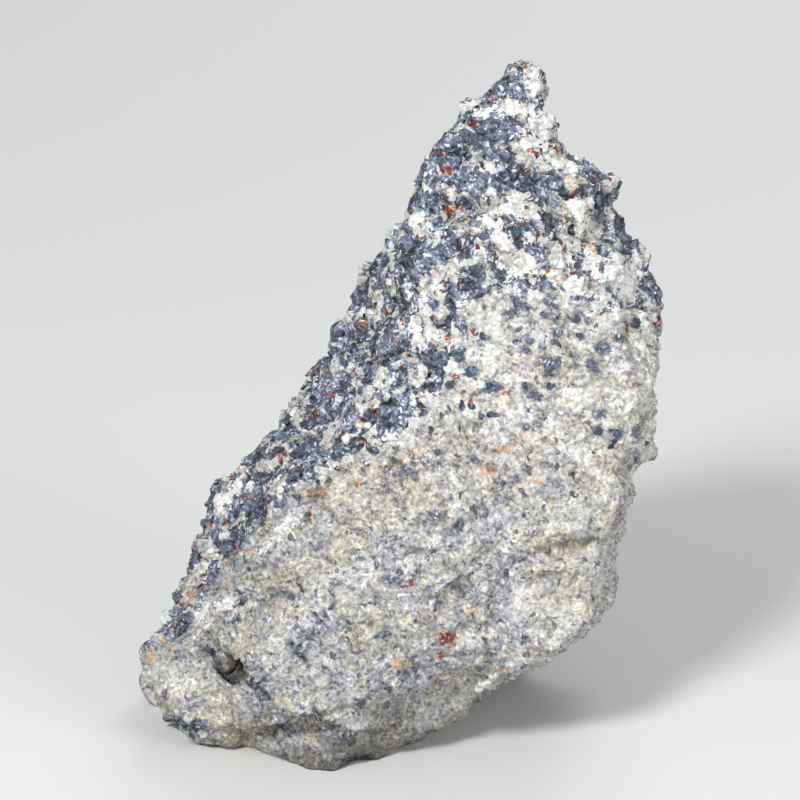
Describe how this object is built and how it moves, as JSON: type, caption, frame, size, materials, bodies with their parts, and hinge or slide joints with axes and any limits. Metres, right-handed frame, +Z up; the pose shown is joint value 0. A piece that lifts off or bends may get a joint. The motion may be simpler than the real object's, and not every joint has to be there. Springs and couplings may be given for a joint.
{
  "type": "willemite with franklinite specimen",
  "caption": "Broken lump of grey-tan willemite ore with dark franklinite and red zincite grains, leaning to a peak and standing on a flat foot.",
  "frame": {"origin": "middle of the bounding box, on the plane of the flat foot", "axes": "+Z up, -Y towards the viewer of the display side, +X to the right of that side"},
  "size_m": [0.0766, 0.068, 0.0919],
  "materials": {
    "ore": "rough, granular, with dark semi-metallic grains"
  },
  "bodies": {
    "root": {"ore_lump": "ore"}
  },
  "joints": []
}
